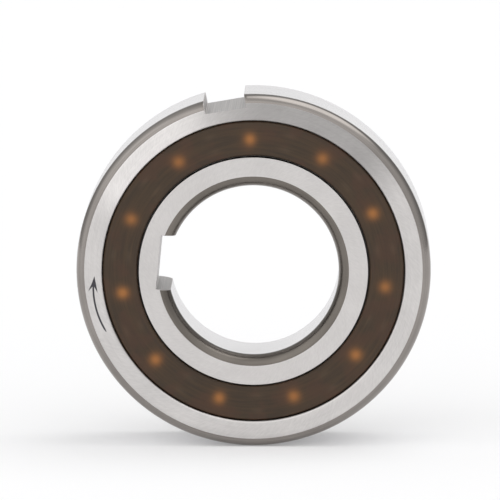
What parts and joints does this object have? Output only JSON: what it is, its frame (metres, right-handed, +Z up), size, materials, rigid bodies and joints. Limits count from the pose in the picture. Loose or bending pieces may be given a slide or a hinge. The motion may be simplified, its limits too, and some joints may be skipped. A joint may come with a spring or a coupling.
{
  "type": "sprag clutch",
  "caption": "One-way sprag clutch in the form of a ball bearing: sprags sit between the balls, and keyways in the bore and outside carry the torque.",
  "frame": {"origin": "middle of the bearing, on the shaft axis halfway between the two faces", "axes": "+Y along the shaft axis, from the front face to the rear face; the front face, with the arrow, looks along -Y; +Z up with the bearing standing on its rim, +X to the right as seen from the front"},
  "size_m": [0.052, 0.015, 0.052],
  "materials": {
    "ring_steel": "finely ground",
    "ball_steel": "polished",
    "sprag_steel": "ground",
    "spring_steel": "rolled strip",
    "cage_polymer": "semi-gloss moulded"
  },
  "bodies": {
    "outer_ring": {"outer_ring": "ring_steel"},
    "inner_ring": {"inner_ring": "ring_steel"},
    "cage": {"cage_body": "cage_polymer", "cage_cover": "cage_polymer", "sprag_spring_01": "spring_steel", "sprag_spring_02": "spring_steel", "sprag_spring_03": "spring_steel", "sprag_spring_04": "spring_steel", "sprag_spring_05": "spring_steel", "sprag_spring_06": "spring_steel", "sprag_spring_07": "spring_steel", "sprag_spring_08": "spring_steel", "sprag_spring_09": "spring_steel", "sprag_spring_10": "spring_steel", "sprag_spring_11": "spring_steel"},
    "ball_01": {"ball_01": "ball_steel"},
    "ball_02": {"ball_02": "ball_steel"},
    "ball_03": {"ball_03": "ball_steel"},
    "ball_04": {"ball_04": "ball_steel"},
    "ball_05": {"ball_05": "ball_steel"},
    "ball_06": {"ball_06": "ball_steel"},
    "ball_07": {"ball_07": "ball_steel"},
    "ball_08": {"ball_08": "ball_steel"},
    "ball_09": {"ball_09": "ball_steel"},
    "ball_10": {"ball_10": "ball_steel"},
    "ball_11": {"ball_11": "ball_steel"},
    "sprag_01": {"sprag_01": "sprag_steel"},
    "sprag_02": {"sprag_02": "sprag_steel"},
    "sprag_03": {"sprag_03": "sprag_steel"},
    "sprag_04": {"sprag_04": "sprag_steel"},
    "sprag_05": {"sprag_05": "sprag_steel"},
    "sprag_06": {"sprag_06": "sprag_steel"},
    "sprag_07": {"sprag_07": "sprag_steel"},
    "sprag_08": {"sprag_08": "sprag_steel"},
    "sprag_09": {"sprag_09": "sprag_steel"},
    "sprag_10": {"sprag_10": "sprag_steel"},
    "sprag_11": {"sprag_11": "sprag_steel"}
  },
  "joints": [
    {"name": "inner_ring_spin", "type": "hinge", "parent": "outer_ring", "child": "inner_ring", "pos_m": [0, 0, 0], "axis": [0, 1, 0], "continuous": true},
    {"name": "cage_orbit", "type": "hinge", "parent": "outer_ring", "child": "cage", "pos_m": [0, 0, 0], "axis": [0, 1, 0], "continuous": true},
    {"name": "ball_01_spin", "type": "hinge", "parent": "cage", "child": "ball_01", "pos_m": [0.01748, 0, 0.00852], "axis": [0, 1, 0], "continuous": true},
    {"name": "ball_02_spin", "type": "hinge", "parent": "cage", "child": "ball_02", "pos_m": [0.0101, 0, 0.01662], "axis": [0, 1, 0], "continuous": true},
    {"name": "ball_03_spin", "type": "hinge", "parent": "cage", "child": "ball_03", "pos_m": [-0.00049, 0, 0.01944], "axis": [0, 1, 0], "continuous": true},
    {"name": "ball_04_spin", "type": "hinge", "parent": "cage", "child": "ball_04", "pos_m": [-0.01093, 0, 0.01609], "axis": [0, 1, 0], "continuous": true},
    {"name": "ball_05_spin", "type": "hinge", "parent": "cage", "child": "ball_05", "pos_m": [-0.01789, 0, 0.00763], "axis": [0, 1, 0], "continuous": true},
    {"name": "ball_06_spin", "type": "hinge", "parent": "cage", "child": "ball_06", "pos_m": [-0.01918, 0, -0.00325], "axis": [0, 1, 0], "continuous": true},
    {"name": "ball_07_spin", "type": "hinge", "parent": "cage", "child": "ball_07", "pos_m": [-0.01437, 0, -0.0131], "axis": [0, 1, 0], "continuous": true},
    {"name": "ball_08_spin", "type": "hinge", "parent": "cage", "child": "ball_08", "pos_m": [-0.00501, 0, -0.01879], "axis": [0, 1, 0], "continuous": true},
    {"name": "ball_09_spin", "type": "hinge", "parent": "cage", "child": "ball_09", "pos_m": [0.00595, 0, -0.01852], "axis": [0, 1, 0], "continuous": true},
    {"name": "ball_10_spin", "type": "hinge", "parent": "cage", "child": "ball_10", "pos_m": [0.01502, 0, -0.01236], "axis": [0, 1, 0], "continuous": true},
    {"name": "ball_11_spin", "type": "hinge", "parent": "cage", "child": "ball_11", "pos_m": [0.01932, 0, -0.00228], "axis": [0, 1, 0], "continuous": true},
    {"name": "sprag_01_rock", "type": "hinge", "parent": "cage", "child": "sprag_01", "pos_m": [0.01437, 0, 0.0131], "axis": [0, 1, 0], "range_deg": [-4, 3]},
    {"name": "sprag_02_rock", "type": "hinge", "parent": "cage", "child": "sprag_02", "pos_m": [0.00501, 0, 0.01879], "axis": [0, 1, 0], "range_deg": [-4, 3]},
    {"name": "sprag_03_rock", "type": "hinge", "parent": "cage", "child": "sprag_03", "pos_m": [-0.00595, 0, 0.01852], "axis": [0, 1, 0], "range_deg": [-4, 3]},
    {"name": "sprag_04_rock", "type": "hinge", "parent": "cage", "child": "sprag_04", "pos_m": [-0.01502, 0, 0.01236], "axis": [0, 1, 0], "range_deg": [-4, 3]},
    {"name": "sprag_05_rock", "type": "hinge", "parent": "cage", "child": "sprag_05", "pos_m": [-0.01932, 0, 0.00228], "axis": [0, 1, 0], "range_deg": [-4, 3]},
    {"name": "sprag_06_rock", "type": "hinge", "parent": "cage", "child": "sprag_06", "pos_m": [-0.01748, 0, -0.00852], "axis": [0, 1, 0], "range_deg": [-4, 3]},
    {"name": "sprag_07_rock", "type": "hinge", "parent": "cage", "child": "sprag_07", "pos_m": [-0.0101, 0, -0.01662], "axis": [0, 1, 0], "range_deg": [-4, 3]},
    {"name": "sprag_08_rock", "type": "hinge", "parent": "cage", "child": "sprag_08", "pos_m": [0.00049, 0, -0.01944], "axis": [0, 1, 0], "range_deg": [-4, 3]},
    {"name": "sprag_09_rock", "type": "hinge", "parent": "cage", "child": "sprag_09", "pos_m": [0.01093, 0, -0.01609], "axis": [0, 1, 0], "range_deg": [-4, 3]},
    {"name": "sprag_10_rock", "type": "hinge", "parent": "cage", "child": "sprag_10", "pos_m": [0.01789, 0, -0.00763], "axis": [0, 1, 0], "range_deg": [-4, 3]},
    {"name": "sprag_11_rock", "type": "hinge", "parent": "cage", "child": "sprag_11", "pos_m": [0.01918, 0, 0.00325], "axis": [0, 1, 0], "range_deg": [-4, 3]}
  ],
  "couplings": [
    {"joint": "cage_orbit", "follows": "inner_ring_spin", "ratio": 0.41838},
    {"joint": "ball_01_spin", "follows": "inner_ring_spin", "ratio": -2.9814},
    {"joint": "ball_02_spin", "follows": "inner_ring_spin", "ratio": -2.9814},
    {"joint": "ball_03_spin", "follows": "inner_ring_spin", "ratio": -2.9814},
    {"joint": "ball_04_spin", "follows": "inner_ring_spin", "ratio": -2.9814},
    {"joint": "ball_05_spin", "follows": "inner_ring_spin", "ratio": -2.9814},
    {"joint": "ball_06_spin", "follows": "inner_ring_spin", "ratio": -2.9814},
    {"joint": "ball_07_spin", "follows": "inner_ring_spin", "ratio": -2.9814},
    {"joint": "ball_08_spin", "follows": "inner_ring_spin", "ratio": -2.9814},
    {"joint": "ball_09_spin", "follows": "inner_ring_spin", "ratio": -2.9814},
    {"joint": "ball_10_spin", "follows": "inner_ring_spin", "ratio": -2.9814},
    {"joint": "ball_11_spin", "follows": "inner_ring_spin", "ratio": -2.9814},
    {"joint": "sprag_02_rock", "follows": "sprag_01_rock", "ratio": 1},
    {"joint": "sprag_03_rock", "follows": "sprag_01_rock", "ratio": 1},
    {"joint": "sprag_04_rock", "follows": "sprag_01_rock", "ratio": 1},
    {"joint": "sprag_05_rock", "follows": "sprag_01_rock", "ratio": 1},
    {"joint": "sprag_06_rock", "follows": "sprag_01_rock", "ratio": 1},
    {"joint": "sprag_07_rock", "follows": "sprag_01_rock", "ratio": 1},
    {"joint": "sprag_08_rock", "follows": "sprag_01_rock", "ratio": 1},
    {"joint": "sprag_09_rock", "follows": "sprag_01_rock", "ratio": 1},
    {"joint": "sprag_10_rock", "follows": "sprag_01_rock", "ratio": 1},
    {"joint": "sprag_11_rock", "follows": "sprag_01_rock", "ratio": 1}
  ]
}
